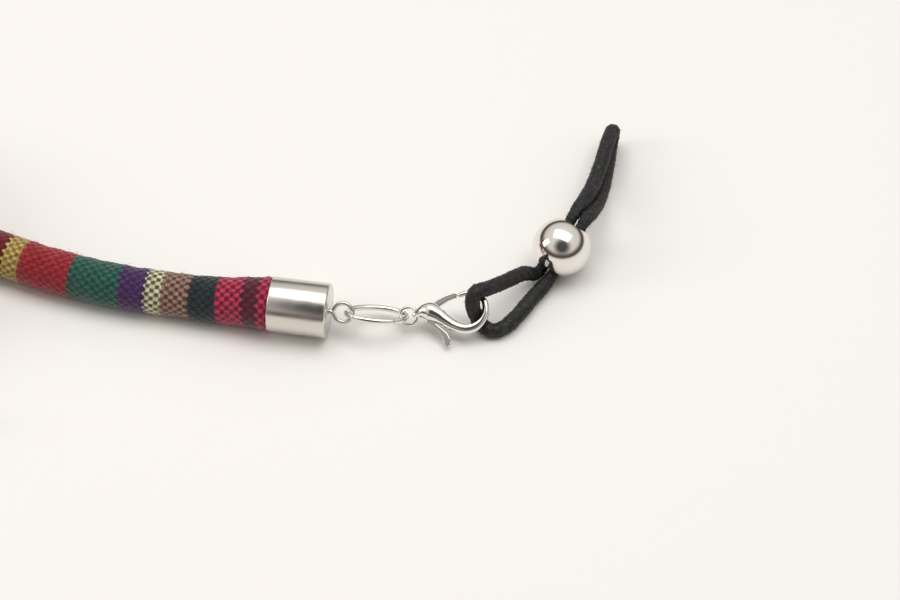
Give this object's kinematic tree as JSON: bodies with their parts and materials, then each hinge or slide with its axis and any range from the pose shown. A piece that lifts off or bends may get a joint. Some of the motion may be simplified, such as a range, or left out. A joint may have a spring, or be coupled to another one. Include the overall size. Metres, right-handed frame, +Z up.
{
  "type": "eyeglass retainer strap",
  "caption": "Woven tube strap for glasses, with metal end caps, jump rings, lobster clasps and waxed-cord temple loops tightened by sliding beads; spare strap coiled",
  "frame": {"origin": "point on the table under the middle of the box round the metal parts of both ends", "axes": "+X runs along the strap's ends, the longest extent of the metal parts, +Y away from the viewer across the table, +Z up"},
  "size_m": [0.1911, 0.0555, 0.0122],
  "materials": {
    "satin_nickel": "satin nickel plate",
    "bright_nickel": "bright nickel plate, mirror polished",
    "spring_steel": "drawn spring steel",
    "adhesive": "set clear adhesive",
    "woven_cotton": "plain woven cotton in coloured bands, slightly fuzzy",
    "cotton_filler": "undyed twisted cotton",
    "waxed_cord": "black waxed cotton braid, dull"
  },
  "bodies": {
    "strap": {"end_cap_a": "satin_nickel", "cap_eye_a": "satin_nickel", "cap_glue_a": "adhesive", "end_cap_b": "satin_nickel", "cap_eye_b": "satin_nickel", "cap_glue_b": "adhesive", "strap_sleeve_lead": "woven_cotton", "strap_core_lead": "cotton_filler", "strap_coil": "woven_cotton", "strap_sleeve_tail": "woven_cotton", "strap_core_tail": "cotton_filler"},
    "ring_a": {"jump_ring_a": "bright_nickel"},
    "clasp_a": {"clasp_body_a": "bright_nickel", "lever_pin_a": "spring_steel", "lever_spring_a": "spring_steel"},
    "lever_a": {"clasp_lever_a": "bright_nickel"},
    "loop_a": {"temple_cord_a": "waxed_cord"},
    "bead_a": {"slide_bead_a": "bright_nickel"},
    "ring_b": {"jump_ring_b": "bright_nickel"},
    "clasp_b": {"clasp_body_b": "bright_nickel", "lever_pin_b": "spring_steel", "lever_spring_b": "spring_steel"},
    "lever_b": {"clasp_lever_b": "bright_nickel"},
    "loop_b": {"temple_cord_b": "waxed_cord"},
    "bead_b": {"slide_bead_b": "bright_nickel"}
  },
  "joints": [
    {"name": "ring_swing_a", "type": "hinge", "parent": "strap", "child": "ring_a", "pos_m": [0.04007, 0.00302, 0.00347], "axis": [0, 0, 1], "range_deg": [-25, 8]},
    {"name": "clasp_swing_a", "type": "hinge", "parent": "ring_a", "child": "clasp_a", "pos_m": [0.04643, 0.00358, 0.0023], "axis": [0, 0, 1], "range_deg": [-10, 25]},
    {"name": "lever_press_a", "type": "hinge", "parent": "clasp_a", "child": "lever_a", "pos_m": [0.05036, 0.00395, 0.00275], "axis": [0.1476, 0.4909, -0.8586], "range_deg": [0, 18], "stiffness_Nm_per_rad": 0.004},
    {"name": "loop_swing_a", "type": "hinge", "parent": "clasp_a", "child": "loop_a", "pos_m": [0.05624, 0.00362, 0.003], "axis": [0, 0, 1], "range_deg": [-15, 12], "deforming": ["temple_cord_a"]},
    {"name": "bead_slide_a", "type": "slide", "parent": "loop_a", "child": "bead_a", "axis": [0.5265, 0.6275, 0.5736], "range_m": [0, 0.006], "deforming": ["temple_cord_a"]},
    {"name": "ring_swing_b", "type": "hinge", "parent": "strap", "child": "ring_b", "pos_m": [-0.06111, -0.01422, 0.00347], "axis": [0, 0, 1], "range_deg": [-20, 0]},
    {"name": "clasp_swing_b", "type": "hinge", "parent": "ring_b", "child": "clasp_b", "pos_m": [-0.05472, -0.01393, 0.0023], "axis": [0, 0, 1], "range_deg": [-8, 0]},
    {"name": "lever_press_b", "type": "hinge", "parent": "clasp_b", "child": "lever_b", "pos_m": [-0.05079, -0.0136, 0.00275], "axis": [0.1476, 0.4909, -0.8586], "range_deg": [0, 18], "stiffness_Nm_per_rad": 0.004},
    {"name": "loop_swing_b", "type": "hinge", "parent": "clasp_b", "child": "loop_b", "pos_m": [-0.04486, -0.01388, 0.003], "axis": [0, 0, 1], "range_deg": [-20, 0], "deforming": ["temple_cord_b"]},
    {"name": "bead_slide_b", "type": "slide", "parent": "loop_b", "child": "bead_b", "axis": [1, 0, 0], "range_m": [-0.003, 0.006], "deforming": ["temple_cord_b"]}
  ]
}
